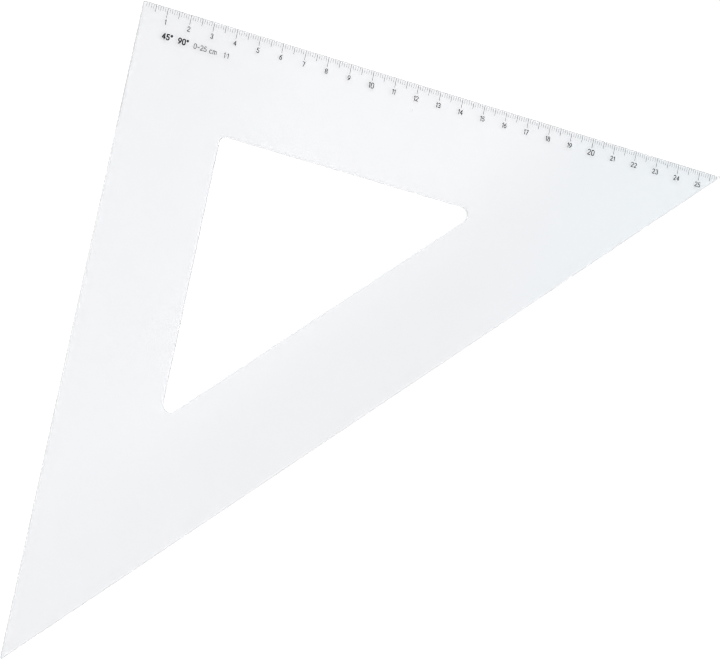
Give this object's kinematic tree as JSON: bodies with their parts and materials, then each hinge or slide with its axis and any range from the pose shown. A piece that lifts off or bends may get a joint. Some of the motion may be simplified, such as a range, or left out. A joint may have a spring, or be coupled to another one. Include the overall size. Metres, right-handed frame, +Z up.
{
  "type": "set square",
  "caption": "Clear plastic 45-degree set square: a thin right-angled triangle with a triangular opening, graduated and numbered in centimetres along one leg.",
  "frame": {"origin": "the right-angle corner of the plate, on the underside, below the zero of the scale", "axes": "+X along the graduated leg, towards the higher numbers; -Y along the plain leg; +Z up, out of the printed face"},
  "size_m": [0.2596, 0.2596, 0.002],
  "materials": {
    "clear_acrylic": "clear, polished",
    "black_ink": "printed, matt"
  },
  "bodies": {
    "root": {"plate": "clear_acrylic", "millimetre_ticks": "black_ink", "half_centimetre_ticks": "black_ink", "centimetre_ticks": "black_ink", "numeral_1": "black_ink", "numeral_2": "black_ink", "numeral_3": "black_ink", "numeral_4": "black_ink", "numeral_5": "black_ink", "numeral_6": "black_ink", "numeral_7": "black_ink", "numeral_8": "black_ink", "numeral_9": "black_ink", "numeral_10": "black_ink", "numeral_11": "black_ink", "numeral_12": "black_ink", "numeral_13": "black_ink", "numeral_14": "black_ink", "numeral_15": "black_ink", "numeral_16": "black_ink", "numeral_17": "black_ink", "numeral_18": "black_ink", "numeral_19": "black_ink", "numeral_20": "black_ink", "numeral_21": "black_ink", "numeral_22": "black_ink", "numeral_23": "black_ink", "numeral_24": "black_ink", "numeral_25": "black_ink", "angle_mark": "black_ink", "unit_mark": "black_ink"}
  },
  "joints": []
}
